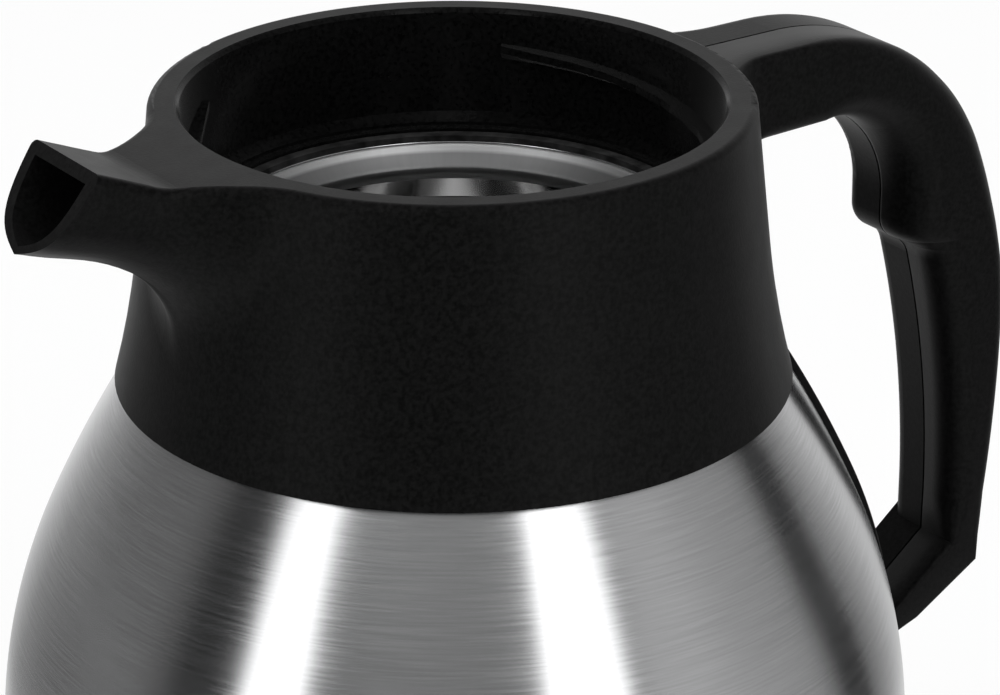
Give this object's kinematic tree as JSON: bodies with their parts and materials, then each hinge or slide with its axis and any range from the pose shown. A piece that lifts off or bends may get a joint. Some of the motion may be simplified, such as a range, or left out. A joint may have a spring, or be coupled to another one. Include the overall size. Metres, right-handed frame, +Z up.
{
  "type": "thermal carafe",
  "caption": "Double-walled steel coffee carafe with a black collar, pouring spout, ramped open mouth and hooked finger handle.",
  "frame": {"origin": "centre of the base plane, on the vessel's axis", "axes": "+Z up along the vessel's axis, +X towards the handle, the spout points along -X"},
  "size_m": [0.1794, 0.1408, 0.1996],
  "materials": {
    "brushed_wall": "brushed round and round",
    "plain_steel": "satin",
    "polished_steel": "electropolished",
    "black_plastic": "satin moulded",
    "black_rubber": "matte"
  },
  "bodies": {
    "root": {"outer_shell": "brushed_wall", "shell_floor": "plain_steel", "vacuum_seal": "plain_steel", "getter": "plain_steel", "inner_flask": "polished_steel", "flask_floor": "polished_steel", "mouth_funnel": "plain_steel", "base_cup": "black_plastic", "base_pad": "black_rubber", "collar": "black_plastic", "neck_gasket": "black_rubber", "lock_ring": "black_plastic", "foot_bracket": "plain_steel", "knuckle_guard": "black_plastic", "handle_near": "black_plastic", "handle_far": "black_plastic", "handle_screws": "plain_steel"}
  },
  "joints": []
}
